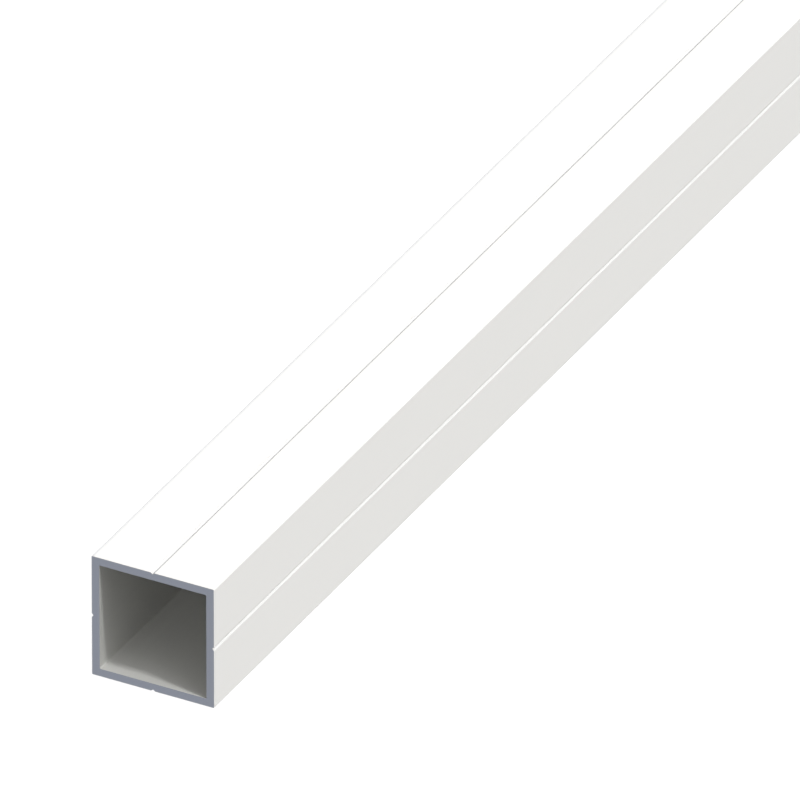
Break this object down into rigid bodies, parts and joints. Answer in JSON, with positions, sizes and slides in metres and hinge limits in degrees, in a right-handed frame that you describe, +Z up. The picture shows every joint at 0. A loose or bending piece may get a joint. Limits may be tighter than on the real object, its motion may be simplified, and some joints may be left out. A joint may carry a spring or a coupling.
{
  "type": "square tube",
  "caption": "White-coated square aluminium tube with an open bore and a shallow centre groove along each face, for plug-together frames.",
  "frame": {"origin": "on the face the tube lies on, under its axis, midway along its length", "axes": "+Y along the tube, away from the end that the picture shows; +Z up, square to the top face; +X towards the right-hand face seen from that end"},
  "size_m": [0.0234, 1, 0.0235],
  "materials": {
    "white_coated_aluminium": "satin"
  },
  "bodies": {
    "root": {"square_tube": "white_coated_aluminium"}
  },
  "joints": []
}
